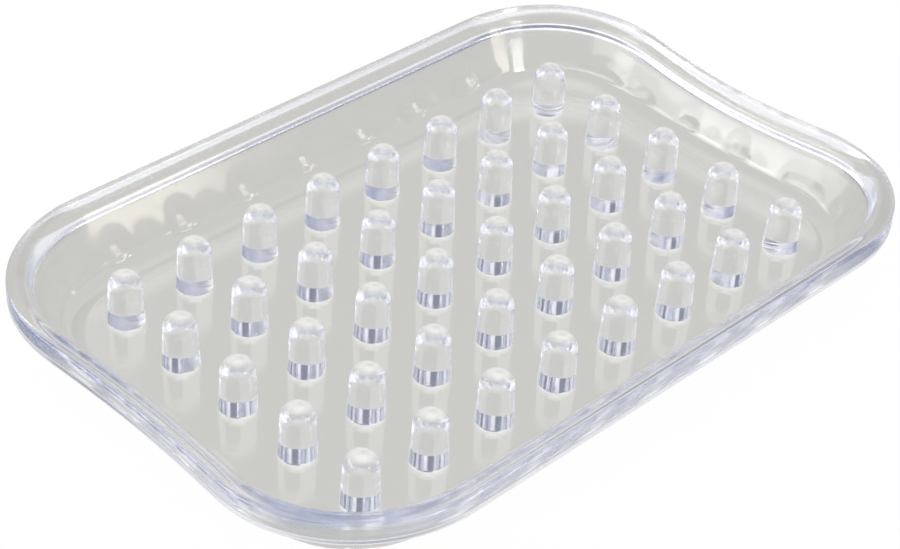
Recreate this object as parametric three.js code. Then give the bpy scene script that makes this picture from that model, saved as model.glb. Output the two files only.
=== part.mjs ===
// Clear soap and sponge tray: a flat floor inside a sloping wall, a thick rim that dips at both
// short ends, and a grid of round-topped pegs that hold the soap off the floor to drain and dry.
// Millimetres, +Z up, X along the tray, origin on the underside at the middle.

import * as THREE from 'three';

// Plan of the rim's outer edge: a rounded rectangle whose short ends are drawn in a little
const HALF_LENGTH = 71.65; // to the line of a short end, before it is drawn in
const HALF_WIDTH = 46.95;
const CORNER_RADIUS = 27;
const END_BOW = 2.25; // how far the wall's foot is drawn in at the middle of a short end
const END_DIP = 1.6; // how far the rim drops at the middle of a short end

// Floor and wall
const THICKNESS = 1.5; // of the floor, and of the wall at its foot
const WALL_FOOT_INSET = 11.7; // from the rim's outer edge to where the floor turns up into the wall
const WALL_FOOT_RADIUS = 4.5;
const WALL_INNER_SLOPE = THREE.MathUtils.degToRad(66); // from level
const WALL_OUTER_SLOPE = THREE.MathUtils.degToRad(63); // leans more, so the wall thickens upward
const WALL_HEIGHT = 6.8; // underside to the level where the rim takes over from the wall

// Rim
const RIM_TOP = 13.7; // overall height, at the corners and along the long sides
const RIM_EDGE_HEIGHT = 4.1; // of the upright outer face
const RIM_OUTER_ROUND = 0.9;
const RIM_INNER_ROUND = 2.4;
const RIM_LOWER_ROUND = 0.6;
const RIM_FILLET = 1.6; // in the corner between the wall and the rim's underside

// Pegs
const PEG_COLUMNS = 8; // along the tray
const PEG_ROWS = 5; // across it
const PEG_END_MARGIN = 10.95; // from the line of the floor's short end to the middles of the last pegs
const PEG_SIDE_MARGIN = 7.25; // and from the floor's long side
const PEG_HEIGHT = 9.6;
const PEG_TOP_RADIUS = 2.83; // also the radius of the round top
const PEG_BASE_RADIUS = 3.1;

// Fineness of the curved faces
const CORNER_STEPS = 10;
const END_STEPS = 8;
const WALL_FOOT_STEPS = 4;
const RIM_ROUND_STEPS = 3;
const PEG_SIDES = 14;
const PEG_ROUND_STEPS = 4;

const QUARTER_TURN = Math.PI / 2;
const RIM_UNDERSIDE = RIM_TOP - RIM_EDGE_HEIGHT;

const clearPlastic = new THREE.MeshStandardMaterial({
  color: 0xd9dbe0,
  roughness: 0.06,
  metalness: 0,
  transparent: true,
  opacity: 0.4,
});

// Full strength at the middle of a short end, fading to nothing at the long sides
function endWave(y) {
  return Math.cos(QUARTER_TURN * (y / HALF_WIDTH)) ** 2;
}

// Places around the outline, anticlockwise from above: a hub point and the direction out of the tray.
// A corner's places share one hub and turn about it, and those of a short end move along it.
function outlineStations() {
  const hubX = HALF_LENGTH - CORNER_RADIUS;
  const hubY = HALF_WIDTH - CORNER_RADIUS;
  const stations = [];
  const addCorner = (x, y, startAngle) => {
    for (let step = 0; step <= CORNER_STEPS; step += 1) {
      const angle = startAngle + QUARTER_TURN * (step / CORNER_STEPS);
      stations.push({ x, y, outX: Math.cos(angle), outY: Math.sin(angle) });
    }
  };
  const addEnd = (side) => {
    for (let step = 1; step < END_STEPS; step += 1) {
      const y = side * hubY * ((2 * step) / END_STEPS - 1);
      stations.push({ x: side * hubX, y, outX: side, outY: 0 });
    }
  };
  addEnd(1);
  addCorner(hubX, hubY, 0);
  addCorner(-hubX, hubY, QUARTER_TURN);
  addEnd(-1);
  addCorner(-hubX, -hubY, 2 * QUARTER_TURN);
  addCorner(hubX, -hubY, 3 * QUARTER_TURN);
  return stations;
}

// The rim dips in full, the top edge of the wall below it not at all
function dipShare(height) {
  return THREE.MathUtils.clamp((height - WALL_HEIGHT) / (RIM_UNDERSIDE - WALL_HEIGHT), 0, 1);
}

// A point of a cross-section, [inset from the outer edge, height], set at one place of the outline.
// Where the rim dips it slides down the wall's inner slope, so that face stays flat in section.
function placePoint(station, [inset, height]) {
  const wave = endWave(station.y + station.outY * CORNER_RADIUS);
  const drop = END_DIP * wave * dipShare(height);
  const reach = CORNER_RADIUS - inset - drop / Math.tan(WALL_INNER_SLOPE);
  return [
    station.x + station.outX * reach - Math.sign(station.x) * END_BOW * wave,
    station.y + station.outY * reach,
    height - drop,
  ];
}

// Points of an arc in a cross-section: the angle is 0 towards the outside and a quarter turn is up
function sectionArc(centre, radius, fromAngle, toAngle, steps) {
  const points = [];
  for (let step = 0; step <= steps; step += 1) {
    const angle = fromAngle + (toAngle - fromAngle) * (step / steps);
    points.push([centre[0] - radius * Math.cos(angle), centre[1] + radius * Math.sin(angle)]);
  }
  return points;
}

// A ring with one cross-section all the way round, listed up its outer side and down its inner side
function ringGeometry(section) {
  const stations = outlineStations();
  const positions = stations.flatMap((station) => section.flatMap((point) => placePoint(station, point)));
  const indices = [];
  stations.forEach((station, place) => {
    const here = place * section.length;
    const next = ((place + 1) % stations.length) * section.length;
    section.forEach((point, low) => {
      const high = (low + 1) % section.length;
      indices.push(here + low, next + low, next + high);
      indices.push(here + low, next + high, here + high);
    });
  });
  const geometry = new THREE.BufferGeometry();
  geometry.setAttribute('position', new THREE.Float32BufferAttribute(positions, 3));
  geometry.setIndex(indices);
  geometry.computeVertexNormals();
  return geometry;
}

// Each of the wall's two faces turns up in a bend about one shared centre and leaves it at its own slope
const wallBendCentre = [WALL_FOOT_INSET, THICKNESS + WALL_FOOT_RADIUS];
const innerFace = { bendRadius: WALL_FOOT_RADIUS, slope: WALL_INNER_SLOPE };
const outerFace = { bendRadius: WALL_FOOT_RADIUS + THICKNESS, slope: WALL_OUTER_SLOPE };

// Inset, at a height, of the line that runs beside a wall face at a distance towards the outside
function wallInset({ bendRadius, slope }, height, distance = 0) {
  const radius = bendRadius + distance;
  const bendInset = wallBendCentre[0] - radius * Math.sin(slope);
  const bendHeight = wallBendCentre[1] - radius * Math.cos(slope);
  return bendInset - (height - bendHeight) / Math.tan(slope);
}

function wallBendPoints({ bendRadius, slope }) {
  return sectionArc(wallBendCentre, bendRadius, -QUARTER_TURN, slope - QUARTER_TURN, WALL_FOOT_STEPS);
}

// Floor: a flat plate that ends where the wall's foot begins to turn up
function floorGeometry() {
  const corners = outlineStations().map((station) => {
    const [x, y] = placePoint(station, [WALL_FOOT_INSET, 0]);
    return new THREE.Vector2(x, y);
  });
  return new THREE.ExtrudeGeometry(new THREE.Shape(corners), { depth: THICKNESS, bevelEnabled: false });
}

// Wall: turns up out of the floor and leans outward to the level of the rim
function wallGeometry() {
  return ringGeometry([
    ...wallBendPoints(outerFace),
    [wallInset(outerFace, WALL_HEIGHT), WALL_HEIGHT],
    [wallInset(innerFace, WALL_HEIGHT), WALL_HEIGHT],
    ...wallBendPoints(innerFace).reverse(),
  ]);
}

// Rim: carries the wall on up, then thickens outward into a band with rounded edges
function rimGeometry() {
  const filletHeight = RIM_UNDERSIDE - RIM_FILLET;
  const filletStart = QUARTER_TURN + WALL_OUTER_SLOPE;
  const innerRoundHeight = RIM_TOP - RIM_INNER_ROUND;
  const innerRoundEnd = QUARTER_TURN + WALL_INNER_SLOPE;
  const filletCentre = [wallInset(outerFace, filletHeight, RIM_FILLET), filletHeight];
  const lowerRoundCentre = [RIM_LOWER_ROUND, RIM_UNDERSIDE + RIM_LOWER_ROUND];
  const outerRoundCentre = [RIM_OUTER_ROUND, RIM_TOP - RIM_OUTER_ROUND];
  const innerRoundCentre = [wallInset(innerFace, innerRoundHeight, RIM_INNER_ROUND), innerRoundHeight];
  return ringGeometry([
    [wallInset(outerFace, WALL_HEIGHT), WALL_HEIGHT],
    ...sectionArc(filletCentre, RIM_FILLET, filletStart, QUARTER_TURN, RIM_ROUND_STEPS),
    ...sectionArc(lowerRoundCentre, RIM_LOWER_ROUND, -QUARTER_TURN, 0, RIM_ROUND_STEPS),
    ...sectionArc(outerRoundCentre, RIM_OUTER_ROUND, 0, QUARTER_TURN, RIM_ROUND_STEPS),
    ...sectionArc(innerRoundCentre, RIM_INNER_ROUND, QUARTER_TURN, innerRoundEnd, RIM_ROUND_STEPS),
    [wallInset(innerFace, WALL_HEIGHT), WALL_HEIGHT],
  ]);
}

// Peg: a slightly tapered post with a round top, standing on the floor
function pegGeometry() {
  const roundCentre = PEG_HEIGHT - PEG_TOP_RADIUS;
  const profile = [
    new THREE.Vector2(0, 0),
    new THREE.Vector2(PEG_BASE_RADIUS, 0),
  ];
  for (let step = 0; step < PEG_ROUND_STEPS; step += 1) {
    const angle = QUARTER_TURN * (step / PEG_ROUND_STEPS);
    const radius = PEG_TOP_RADIUS * Math.cos(angle);
    profile.push(new THREE.Vector2(radius, roundCentre + PEG_TOP_RADIUS * Math.sin(angle)));
  }
  profile.push(new THREE.Vector2(0, PEG_HEIGHT));
  const geometry = new THREE.LatheGeometry(profile, PEG_SIDES);
  geometry.rotateX(QUARTER_TURN);
  return geometry;
}

const tray = new THREE.Group();

function addPiece(name, geometry) {
  const piece = new THREE.Mesh(geometry, clearPlastic.clone());
  piece.name = name;
  tray.add(piece);
  return piece;
}

addPiece('floor_plate', floorGeometry());
addPiece('side_wall', wallGeometry());
addPiece('rim', rimGeometry());

// The grid of pegs spreads evenly between its margins to the floor's ends and sides
const lastColumnX = HALF_LENGTH - WALL_FOOT_INSET - PEG_END_MARGIN;
const lastRowY = HALF_WIDTH - WALL_FOOT_INSET - PEG_SIDE_MARGIN;

for (let row = 0; row < PEG_ROWS; row += 1) {
  for (let column = 0; column < PEG_COLUMNS; column += 1) {
    const peg = addPiece(`peg_row${row + 1}_column${column + 1}`, pegGeometry());
    peg.position.x = lastColumnX * ((2 * column) / (PEG_COLUMNS - 1) - 1);
    peg.position.y = lastRowY * ((2 * row) / (PEG_ROWS - 1) - 1);
    peg.position.z = THICKNESS;
  }
}

export default tray;
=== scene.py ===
import math
import bmesh
import bpy
from mathutils import Matrix, Vector


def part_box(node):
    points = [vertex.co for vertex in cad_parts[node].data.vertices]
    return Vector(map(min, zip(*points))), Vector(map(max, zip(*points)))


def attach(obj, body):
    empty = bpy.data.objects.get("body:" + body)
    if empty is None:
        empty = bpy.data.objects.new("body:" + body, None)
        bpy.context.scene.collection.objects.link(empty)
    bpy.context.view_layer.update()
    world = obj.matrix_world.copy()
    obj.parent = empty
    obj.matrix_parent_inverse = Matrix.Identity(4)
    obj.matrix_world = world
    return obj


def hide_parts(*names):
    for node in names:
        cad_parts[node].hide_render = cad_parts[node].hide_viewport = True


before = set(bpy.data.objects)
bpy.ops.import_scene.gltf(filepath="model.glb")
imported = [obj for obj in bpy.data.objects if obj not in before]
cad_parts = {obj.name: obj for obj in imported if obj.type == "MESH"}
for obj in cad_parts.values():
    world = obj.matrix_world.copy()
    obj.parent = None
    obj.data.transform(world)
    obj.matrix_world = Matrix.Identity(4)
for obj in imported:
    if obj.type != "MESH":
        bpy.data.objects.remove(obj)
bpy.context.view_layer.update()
scene = bpy.context.scene
MM = 0.001

# Floor edge, wall and rim
# The dish of the tray: part of one injection moulding in clear plastic. Its floor turns up in a bend into
# a leaning wall that thickens upward. On top is a thick rim with rounded edges, which dips at both short
# ends.
rim_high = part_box("rim")[1]
floor_low, floor_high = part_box("floor_plate")
half_width = rim_high.y
rim_top = rim_high.z
thickness = floor_high.z - floor_low.z
half_length = 71.65 * MM
corner_radius = 27 * MM
end_bow = 2.25 * MM
end_dip = 1.6 * MM
wall_foot_inset = 11.7 * MM
wall_foot_radius = 4.5 * MM
wall_inner_slope = math.radians(66)
wall_outer_slope = math.radians(63)
dip_start = 6.8 * MM
rim_edge_height = 4.1 * MM
rim_outer_round = 0.9 * MM
rim_inner_round = 2.4 * MM
rim_lower_round = 0.6 * MM
rim_fillet = 1.6 * MM
flat_border = 0.25 * MM
long_side_shares = (0.98, 0, -0.98)
hub_x = half_length - corner_radius
hub_y = half_width - corner_radius
rim_underside = rim_top - rim_edge_height
quarter_turn = math.pi / 2
CORNER_STEPS = 36
END_STEPS = 40
BEND_STEPS = 12
FILLET_STEPS = 6
LOWER_ROUND_STEPS = 8
OUTER_ROUND_STEPS = 10
INNER_ROUND_STEPS = 12


def outline_stations():
    """Places round the outline, anticlockwise: a hub point and the direction out of the tray."""
    stations = []

    def add_corner(x, y, start):
        for step in range(CORNER_STEPS + 1):
            angle = start + quarter_turn * step / CORNER_STEPS
            stations.append((Vector((x, y)), Vector((math.cos(angle), math.sin(angle)))))

    def add_end(side):
        for step in range(1, END_STEPS):
            y = side * hub_y * (2 * step / END_STEPS - 1)
            stations.append((Vector((side * hub_x, y)), Vector((side, 0))))

    def add_long_side(side):
        for share in long_side_shares:
            stations.append((Vector((side * share * hub_x, side * hub_y)), Vector((0, side))))

    add_end(1)
    add_corner(hub_x, hub_y, 0)
    add_long_side(1)
    add_corner(-hub_x, hub_y, quarter_turn)
    add_end(-1)
    add_corner(-hub_x, -hub_y, 2 * quarter_turn)
    add_long_side(-1)
    add_corner(hub_x, -hub_y, 3 * quarter_turn)
    return stations


def place_point(station, point):
    """Sets a point of the cross-section, (inset from the outer edge, height), at a place of the outline."""
    hub, out = station
    inset, height = point
    edge = hub + out * corner_radius
    wave = math.cos(quarter_turn * edge.y / half_width) ** 2
    share = min(max((height - dip_start) / (rim_underside - dip_start), 0), 1)
    drop = end_dip * wave * share
    place = hub + out * (corner_radius - inset - drop / math.tan(wall_inner_slope))
    end_share = min(max(hub.x / hub_x, -1), 1)
    return place.x - end_share * end_bow * wave, place.y, height - drop


def section_arc(centre, radius, start, end, steps):
    """An arc of the cross-section; the angle is 0 towards the outside and a quarter turn is up."""
    angles = [start + (end - start) * step / steps for step in range(steps + 1)]
    return [(centre[0] - radius * math.cos(a), centre[1] + radius * math.sin(a)) for a in angles]


def with_flat_borders(points):
    """Adds a point close to each end of every long straight stretch, so that it keeps its flat shading."""
    result = [points[0]]
    for start, end in zip(points, points[1:]):
        run = Vector(end) - Vector(start)
        if run.length > 4 * flat_border:
            step = run.normalized() * flat_border
            result.append(tuple(Vector(start) + step))
            result.append(tuple(Vector(end) - step))
        result.append(end)
    return result


bend_centre = (wall_foot_inset, thickness + wall_foot_radius)
inner_bend = wall_foot_radius
outer_bend = wall_foot_radius + thickness


def wall_inset(bend_radius, slope, height):
    """Inset of a wall face at a height, from the radius of the bend that it leaves at that slope."""
    bend_inset = bend_centre[0] - bend_radius * math.sin(slope)
    bend_height = bend_centre[1] - bend_radius * math.cos(slope)
    return bend_inset - (height - bend_height) / math.tan(slope)


def dish_section():
    """The whole cross-section, from the underside out round the rim and back in to the floor's top."""
    fillet_height = rim_underside - rim_fillet
    fillet_centre = (wall_inset(outer_bend + rim_fillet, wall_outer_slope, fillet_height), fillet_height)
    inner_height = rim_top - rim_inner_round
    inner_centre = (wall_inset(inner_bend + rim_inner_round, wall_inner_slope, inner_height), inner_height)
    lower_centre = (rim_lower_round, rim_underside + rim_lower_round)
    outer_centre = (rim_outer_round, rim_top - rim_outer_round)
    inner_bend_end = wall_inner_slope - quarter_turn
    outer_bend_end = wall_outer_slope - quarter_turn
    fillet_start = quarter_turn + wall_outer_slope
    inner_round_end = quarter_turn + wall_inner_slope
    points = [(wall_foot_inset + flat_border, 0)]
    points += section_arc(bend_centre, outer_bend, -quarter_turn, outer_bend_end, BEND_STEPS)
    points += section_arc(fillet_centre, rim_fillet, fillet_start, quarter_turn, FILLET_STEPS)
    points += section_arc(lower_centre, rim_lower_round, -quarter_turn, 0, LOWER_ROUND_STEPS)
    points += section_arc(outer_centre, rim_outer_round, 0, quarter_turn, OUTER_ROUND_STEPS)
    points += section_arc(inner_centre, rim_inner_round, quarter_turn, inner_round_end, INNER_ROUND_STEPS)
    points += section_arc(bend_centre, inner_bend, inner_bend_end, -quarter_turn, BEND_STEPS)
    points.append((wall_foot_inset + flat_border, thickness))
    return with_flat_borders(points)


def dish_mesh():
    """Sweeps the cross-section round the outline and closes the underside; the floor's top stays open."""
    section = dish_section()
    rows = bmesh.new()
    rings = []
    for station in outline_stations():
        rings.append([rows.verts.new(place_point(station, point)) for point in section])
    for here, there in zip(rings, rings[1:] + rings[:1]):
        for low in range(len(section) - 1):
            rows.faces.new((here[low], there[low], there[low + 1], here[low + 1]))
    rows.faces.new([ring[0] for ring in reversed(rings)])
    mesh = bpy.data.meshes.new("dish")
    rows.to_mesh(mesh)
    rows.free()
    return mesh


# Pegs
# Forty posts of the same moulding, which hold the soap off the floor: slightly tapered for the mould, with
# a round top and the foot's corner only just eased. They stand in rows, so one post is repeated over a
# grid.
PEG_COLUMNS = 8
PEG_ROWS = 5
PEG_SIDES = 48
PEG_FILLET_STEPS = 6
PEG_ROUND_STEPS = 12
peg_low, peg_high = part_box("peg_row1_column1")
last_peg_low, last_peg_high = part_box(f"peg_row{PEG_ROWS}_column{PEG_COLUMNS}")
peg_height = peg_high.z - peg_low.z
first_peg = (peg_low + peg_high) / 2
last_peg = (last_peg_low + last_peg_high) / 2
peg_top_radius = 2.83 * MM
peg_base_radius = 3.1 * MM
peg_foot_fillet = 0.02 * MM


def peg_profile():
    """Half section of a peg as (radius, height), from its foot on the floor to just below its tip."""
    fillet_edge = peg_base_radius + peg_foot_fillet
    points = [(fillet_edge + flat_border, 0)]
    for step in range(PEG_FILLET_STEPS + 1):
        angle = quarter_turn * step / PEG_FILLET_STEPS
        radius = fillet_edge - peg_foot_fillet * math.sin(angle)
        points.append((radius, peg_foot_fillet * (1 - math.cos(angle))))
    round_centre = peg_height - peg_top_radius
    for step in range(PEG_ROUND_STEPS):
        angle = quarter_turn * step / PEG_ROUND_STEPS
        points.append((peg_top_radius * math.cos(angle), round_centre + peg_top_radius * math.sin(angle)))
    return with_flat_borders(points)


def peg_mesh():
    """One peg turned about its axis, open at the foot."""
    turned = bmesh.new()
    turns = [2 * math.pi * side / PEG_SIDES for side in range(PEG_SIDES)]
    rings = []
    for radius, height in peg_profile():
        circle = [(radius * math.cos(turn), radius * math.sin(turn), height) for turn in turns]
        rings.append([turned.verts.new(place) for place in circle])
    for low, high in zip(rings, rings[1:]):
        for side in range(PEG_SIDES):
            after = (side + 1) % PEG_SIDES
            turned.faces.new((low[side], low[after], high[after], high[side]))
    tip = turned.verts.new((0, 0, peg_height))
    for side in range(PEG_SIDES):
        turned.faces.new((rings[-1][side], rings[-1][(side + 1) % PEG_SIDES], tip))
    mesh = bpy.data.meshes.new("peg")
    turned.to_mesh(mesh)
    turned.free()
    return mesh


def peg_grid_tree(material):
    """Geometry nodes that repeat the object's own mesh over a level grid of points."""
    tree = bpy.data.node_groups.new("peg_grid", "GeometryNodeTree")
    tree.interface.new_socket("Peg", in_out="INPUT", socket_type="NodeSocketGeometry")
    sizes = {}
    for name, kind in (("Length", "Float"), ("Width", "Float"), ("Height", "Float"),
                       ("Columns", "Int"), ("Rows", "Int")):
        socket = tree.interface.new_socket(name, in_out="INPUT", socket_type=f"NodeSocket{kind}")
        sizes[name] = socket.identifier
    tree.interface.new_socket("Pegs", in_out="OUTPUT", socket_type="NodeSocketGeometry")
    inputs = tree.nodes.new("NodeGroupInput")
    grid = tree.nodes.new("GeometryNodeMeshGrid")
    tree.links.new(inputs.outputs["Length"], grid.inputs["Size X"])
    tree.links.new(inputs.outputs["Width"], grid.inputs["Size Y"])
    tree.links.new(inputs.outputs["Columns"], grid.inputs["Vertices X"])
    tree.links.new(inputs.outputs["Rows"], grid.inputs["Vertices Y"])
    lift = tree.nodes.new("ShaderNodeCombineXYZ")
    tree.links.new(inputs.outputs["Height"], lift.inputs["Z"])
    raise_grid = tree.nodes.new("GeometryNodeSetPosition")
    tree.links.new(grid.outputs["Mesh"], raise_grid.inputs["Geometry"])
    tree.links.new(lift.outputs["Vector"], raise_grid.inputs["Offset"])
    stand = tree.nodes.new("GeometryNodeInstanceOnPoints")
    tree.links.new(raise_grid.outputs["Geometry"], stand.inputs["Points"])
    tree.links.new(inputs.outputs["Peg"], stand.inputs["Instance"])
    realize = tree.nodes.new("GeometryNodeRealizeInstances")
    tree.links.new(stand.outputs["Instances"], realize.inputs["Geometry"])
    finish = tree.nodes.new("GeometryNodeSetMaterial")
    finish.inputs["Material"].default_value = material
    tree.links.new(realize.outputs["Geometry"], finish.inputs["Geometry"])
    outputs = tree.nodes.new("NodeGroupOutput")
    tree.links.new(finish.outputs["Geometry"], outputs.inputs["Pegs"])
    return tree, sizes


def peg_field_mesh(material):
    """All the pegs as one plain mesh."""
    post = bpy.data.objects.new("peg", peg_mesh())
    scene.collection.objects.link(post)
    tree, sizes = peg_grid_tree(material)
    modifier = post.modifiers.new("peg_grid", "NODES")
    modifier.node_group = tree
    modifier[sizes["Length"]] = last_peg.x - first_peg.x
    modifier[sizes["Width"]] = last_peg.y - first_peg.y
    modifier[sizes["Height"]] = peg_low.z
    modifier[sizes["Columns"]] = PEG_COLUMNS
    modifier[sizes["Rows"]] = PEG_ROWS
    evaluated = post.evaluated_get(bpy.context.evaluated_depsgraph_get())
    mesh = bpy.data.meshes.new_from_object(evaluated)
    bpy.data.objects.remove(post)
    return mesh


# Moulding
# The real tray is one piece of clear plastic, so dish and pegs are joined into one closed skin, with the
# floor's top spread between them. Light then passes from the floor into the pegs with no face between.
wear_start = 5 * MM
wear_full = 9 * MM
wear_roughness = 0.07


def soft_step(tree, value, start, end, start_level, end_level):
    """A node whose level changes smoothly from one value to another as its input crosses a range."""
    change = tree.nodes.new("ShaderNodeMapRange")
    change.interpolation_type = "SMOOTHSTEP"
    change.inputs["From Min"].default_value = start
    change.inputs["From Max"].default_value = end
    change.inputs["To Min"].default_value = start_level
    change.inputs["To Max"].default_value = end_level
    tree.links.new(value, change.inputs["Value"])
    return change


def clear_plastic():
    """Polished clear plastic, faintly blue where it is thick, with soft flow waves and light scuffs.

    The pegs' tops and the rim, which the soap rubs, are a little duller than the floor.
    """
    material = bpy.data.materials.new("clear_plastic")
    material.use_nodes = True
    nodes = material.node_tree.nodes
    links = material.node_tree.links
    shader = nodes["Principled BSDF"]
    shader.inputs["Base Color"].default_value = (1, 1, 1, 1)
    shader.inputs["IOR"].default_value = 1.49
    shader.inputs["Transmission Weight"].default_value = 1
    place = nodes.new("ShaderNodeTexCoord")

    scuffs = nodes.new("ShaderNodeTexNoise")
    scuffs.inputs["Scale"].default_value = 260
    scuffs.inputs["Detail"].default_value = 6
    links.new(place.outputs["Object"], scuffs.inputs["Vector"])
    polish = nodes.new("ShaderNodeMapRange")
    polish.inputs["From Min"].default_value = 0.45
    polish.inputs["From Max"].default_value = 0.8
    polish.inputs["To Min"].default_value = 0.05
    polish.inputs["To Max"].default_value = 0.11
    links.new(scuffs.outputs["Fac"], polish.inputs["Value"])
    height = nodes.new("ShaderNodeSeparateXYZ")
    links.new(place.outputs["Object"], height.inputs["Vector"])
    wear = soft_step(material.node_tree, height.outputs["Z"], wear_start, wear_full, 0, wear_roughness)
    finish = nodes.new("ShaderNodeMath")
    links.new(polish.outputs["Result"], finish.inputs[0])
    links.new(wear.outputs["Result"], finish.inputs[1])
    links.new(finish.outputs["Value"], shader.inputs["Roughness"])

    flow = nodes.new("ShaderNodeTexNoise")
    flow.inputs["Scale"].default_value = 90
    flow.inputs["Detail"].default_value = 1
    links.new(place.outputs["Object"], flow.inputs["Vector"])
    waves = nodes.new("ShaderNodeBump")
    waves.inputs["Strength"].default_value = 0.02
    waves.inputs["Distance"].default_value = 0.1 * MM
    links.new(flow.outputs["Fac"], waves.inputs["Height"])
    links.new(waves.outputs["Normal"], shader.inputs["Normal"])

    tint = nodes.new("ShaderNodeVolumeAbsorption")
    tint.inputs["Color"].default_value = (0.7, 0.74, 0.88, 1)
    tint.inputs["Density"].default_value = 12
    links.new(tint.outputs["Volume"], nodes["Material Output"].inputs["Volume"])
    return material


def moulding_mesh(material):
    """Dish and pegs with the floor's top filled in between their edges."""
    dish = dish_mesh()
    pegs = peg_field_mesh(material)
    skin = bmesh.new()
    skin.from_mesh(dish)
    skin.from_mesh(pegs)
    open_edges = [edge for edge in skin.edges if edge.is_boundary]
    bmesh.ops.triangle_fill(skin, edges=open_edges, use_beauty=True, normal=(0, 0, 1))
    for face in skin.faces:
        face.smooth = True
    mesh = bpy.data.meshes.new("moulding")
    skin.to_mesh(mesh)
    skin.free()
    bpy.data.meshes.remove(dish)
    bpy.data.meshes.remove(pegs)
    mesh.materials.append(material)
    return mesh


plastic = clear_plastic()
moulding = bpy.data.objects.new("moulding", moulding_mesh(plastic))
scene.collection.objects.link(moulding)
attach(moulding, "root")
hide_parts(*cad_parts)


# Floor
# A plain pale table top, just under the tray. It is white to the camera and a soft warm grey behind clear
# plastic, so the tray reads against it, with a painted light spot below each peg, where a peg would gather
# light, and painted shade below the wall and the rim.
table_gap = 0.3 * MM
table_half = 1.5
table_plan = ((-1, -1), (1, -1), (1, 1), (-1, 1))
warm_grey = (0.65, 0.645, 0.615, 1)
white = (1, 1, 1, 1)
grey_share = 0.9
white_share = 0.97
# Painted light spot below each peg: its radius, the radius where it has faded out, and its level.
painted_light_spot_radius = 1.8 * MM
painted_light_spot_fade_radius = 3.6 * MM
painted_light_spot_level = 1.35
# Painted shade below the wall and the rim: where it starts inside the wall's foot, where it is full outside
# it, and its level.
painted_shade_inside_foot = 2 * MM
painted_shade_outside_foot = 4 * MM
painted_shade_level = 0.87


def vector_steps(tree, start, steps):
    """A chain of vector sums, each with a fixed second value."""
    for operation, value in steps:
        step = tree.nodes.new("ShaderNodeVectorMath")
        step.operation = operation
        step.inputs[1].default_value = value
        tree.links.new(start, step.inputs[0])
        start = step.outputs["Vector"]
    return start


def distance(tree, start, end):
    """How far one place is from another."""
    length = tree.nodes.new("ShaderNodeVectorMath")
    length.operation = "DISTANCE"
    tree.links.new(start, length.inputs[0])
    tree.links.new(end, length.inputs[1])
    return length.outputs["Value"]


def painted_peg_light_spots(tree, place):
    """Painted light spot below each peg: its level from the distance to the nearest peg of the grid."""
    first = Vector((first_peg.x, first_peg.y, 0))
    grid = Vector((last_peg.x, last_peg.y, 0)) - first
    pitch = Vector((grid.x / (PEG_COLUMNS - 1), grid.y / (PEG_ROWS - 1), 1))
    to_nearest = (
        ("ADD", pitch / 2 - first),
        ("SNAP", pitch),
        ("MAXIMUM", (0, 0, 0)),
        ("MINIMUM", grid),
        ("ADD", first),
    )
    nearest = vector_steps(tree, place, to_nearest)
    return soft_step(tree, distance(tree, place, nearest), painted_light_spot_radius, painted_light_spot_fade_radius, painted_light_spot_level, 1)


def painted_wall_shade(tree, place):
    """Painted shade below the wall and rim, by the distance to the rectangle of the corners' hubs."""
    hub = Vector((hub_x, hub_y, 0))
    in_hubs = vector_steps(tree, place, (("MAXIMUM", -hub), ("MINIMUM", hub)))
    foot = corner_radius - wall_foot_inset
    start = foot - painted_shade_inside_foot
    end = foot + painted_shade_outside_foot
    return soft_step(tree, distance(tree, place, in_hubs), start, end, 1, painted_shade_level)


def painted_light_on_table(tree):
    """Painted light and shade on the table: a brighter spot below each peg, darker below the wall and rim.
    """
    place = tree.nodes.new("ShaderNodeTexCoord").outputs["Object"]
    product = tree.nodes.new("ShaderNodeMath")
    product.operation = "MULTIPLY"
    tree.links.new(painted_peg_light_spots(tree, place).outputs["Result"], product.inputs[0])
    tree.links.new(painted_wall_shade(tree, place).outputs["Result"], product.inputs[1])
    return product.outputs["Value"]


def table_material():
    """Matt pale grey, with glows that set its tone for each kind of ray."""
    material = bpy.data.materials.new("table")
    material.use_nodes = True
    nodes = material.node_tree.nodes
    links = material.node_tree.links
    surface = nodes["Principled BSDF"]
    surface.inputs["Base Color"].default_value = (0.8, 0.79, 0.77, 1)
    surface.inputs["Roughness"].default_value = 0.9
    surface.inputs["Specular IOR Level"].default_value = 0.1
    path = nodes.new("ShaderNodeLightPath")

    def glow(colour, ray, share, under):
        """Mixes a glow over the shader below it, for one kind of ray."""
        light = nodes.new("ShaderNodeEmission")
        light.inputs["Color"].default_value = colour
        seen = nodes.new("ShaderNodeMath")
        seen.operation = "MULTIPLY"
        seen.inputs[1].default_value = share
        links.new(path.outputs[ray], seen.inputs[0])
        mix = nodes.new("ShaderNodeMixShader")
        links.new(seen.outputs["Value"], mix.inputs["Fac"])
        links.new(under.outputs[0], mix.inputs[1])
        links.new(light.outputs["Emission"], mix.inputs[2])
        return light, mix

    mirrored = glow(warm_grey, "Is Glossy Ray", grey_share, surface)[1]
    tone_and_painted_light_behind_plastic, result = glow(warm_grey, "Is Transmission Ray", grey_share, mirrored)
    # The warm grey glow behind clear plastic takes its strength from the painted light spots and painted
    # shade.
    links.new(painted_light_on_table(material.node_tree), tone_and_painted_light_behind_plastic.inputs["Strength"])
    result = glow(white, "Is Camera Ray", white_share, result)[1]
    links.new(result.outputs["Shader"], nodes["Material Output"].inputs["Surface"])
    return material


table_mesh = bpy.data.meshes.new("table")
table_corners = [(x * table_half, y * table_half, -table_gap) for x, y in table_plan]
table_mesh.from_pydata(table_corners, [], [(0, 1, 2, 3)])
table_mesh.materials.append(table_material())
table = bpy.data.objects.new("table", table_mesh)
scene.collection.objects.link(table)


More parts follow.
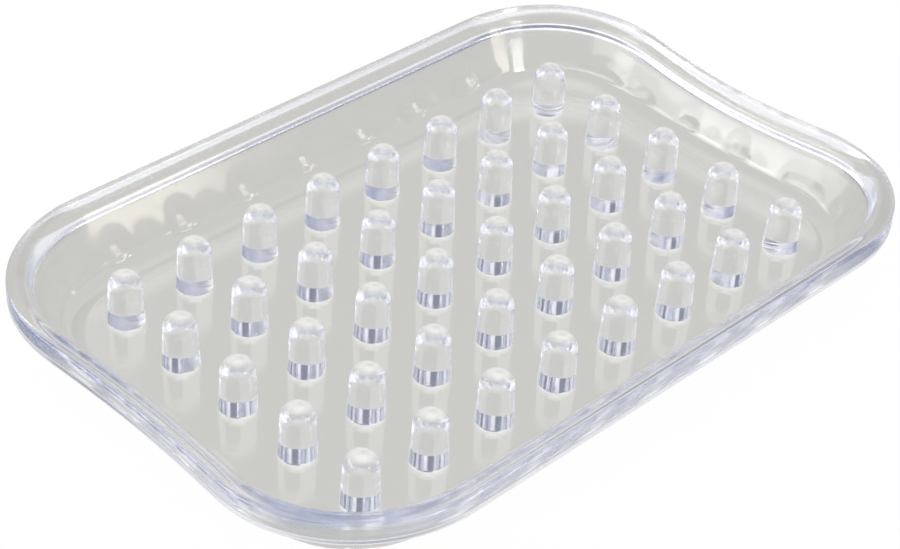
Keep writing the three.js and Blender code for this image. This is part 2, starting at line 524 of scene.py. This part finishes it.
# World
# A white room, brighter overhead and dimmer low down, with one dim patch high behind on the right that the
# pegs' feet mirror as dark bars; pure white to the camera.
low_level = 0.45
wall_level = 0.95
overhead_level = 2.2
dim_level = 0.28
horizon_end = 0.3
overhead_start = 0.8
dim_toward = (0.64, 0.42, 0.64)
dim_edge = 0.945
dim_core = 0.965
dim_tone = (0.75, 0.82, 1.15, 1)
ray_bounces = 160


def white_room():
    """Background light by direction: levels by height, then the dim patch, bluish where it is dimmer."""
    world = bpy.data.worlds.new("white_room")
    world.use_nodes = True
    tree = world.node_tree
    nodes = tree.nodes
    links = tree.links
    back = nodes["Background"]
    place = nodes.new("ShaderNodeTexCoord")
    toward = nodes.new("ShaderNodeVectorMath")
    toward.operation = "DOT_PRODUCT"
    toward.inputs[1].default_value = dim_toward
    links.new(place.outputs["Generated"], toward.inputs[0])
    height = nodes.new("ShaderNodeSeparateXYZ")
    links.new(place.outputs["Generated"], height.inputs["Vector"])
    horizon = soft_step(tree, height.outputs["Z"], 0, horizon_end, low_level, wall_level)
    overhead = soft_step(tree, height.outputs["Z"], overhead_start, 1, wall_level, overhead_level)
    links.new(horizon.outputs["Result"], overhead.inputs["To Min"])
    dim = soft_step(tree, toward.outputs["Value"], dim_edge, dim_core, wall_level, dim_level)
    links.new(overhead.outputs["Result"], dim.inputs["To Min"])
    path = nodes.new("ShaderNodeLightPath")
    level = nodes.new("ShaderNodeMix")
    level.inputs["B"].default_value = 1
    links.new(path.outputs["Is Camera Ray"], level.inputs["Factor"])
    links.new(dim.outputs["Result"], level.inputs["A"])
    tone = nodes.new("ShaderNodeMix")
    tone.data_type = "RGBA"
    tone.inputs["A"].default_value = dim_tone
    tone.inputs["B"].default_value = white
    links.new(level.outputs["Result"], tone.inputs["Factor"])
    links.new(tone.outputs["Result"], back.inputs["Color"])
    links.new(level.outputs["Result"], back.inputs["Strength"])
    return world


scene.world = white_room()
scene.view_settings.view_transform = "Standard"
scene.cycles.max_bounces = ray_bounces
scene.cycles.transmission_bounces = ray_bounces
scene.cycles.glossy_bounces = ray_bounces


# Lamps
# Lights of a small product studio, all aimed at the tray: a wide low soft box and a smaller one above it
# behind on the left, and at the front right a small lamp and a low warm card. They show in the walls and
# on the pegs' shoulders.
def soft_box(name, place, width, height, power, colour):
    """A rectangular lamp aimed at the middle of the tray."""
    lamp = bpy.data.lights.new(name, "AREA")
    lamp.shape = "RECTANGLE"
    lamp.size = width
    lamp.size_y = height
    lamp.energy = power
    lamp.color = colour
    holder = bpy.data.objects.new(name, lamp)
    holder.location = place
    holder.rotation_euler = (-Vector(place)).to_track_quat("-Z", "Y").to_euler()
    scene.collection.objects.link(holder)


soft_box("left_box", (-0.7, 0.388, 0.2), width=1.3, height=0.32, power=4.2, colour=(1, 0.99, 0.95))
soft_box("left_core", (-0.62, 0.35, 0.32), width=0.26, height=0.24, power=0.5, colour=(1, 1, 1))
soft_box("right_spot", (0.077, -0.741, 0.287), width=0.14, height=0.14, power=0.74, colour=(1, 1, 1))
soft_box("warm_card", (0.33, -0.73, 0.1), width=0.2, height=0.13, power=0.58, colour=(1, 0.95, 0.75))


# Camera
# At the photograph's viewing angle: a short telephoto lens, tilted down and slightly rolled.
camera_place = Vector((-212.57, -198.58, 224.11)) * MM
camera_turn = math.radians(-46.452)
camera_tilt = math.radians(52.712)
camera_roll = math.radians(3.919)
lens = bpy.data.cameras.new("camera")
lens.sensor_width = 36
lens.lens = 87.62
lens.clip_start = 0.01
camera = bpy.data.objects.new("camera", lens)
camera.matrix_world = (
    Matrix.Translation(camera_place)
    @ Matrix.Rotation(camera_turn, 4, "Z")
    @ Matrix.Rotation(camera_tilt, 4, "X")
    @ Matrix.Rotation(camera_roll, 4, "Z")
)
scene.collection.objects.link(camera)
scene.camera = camera
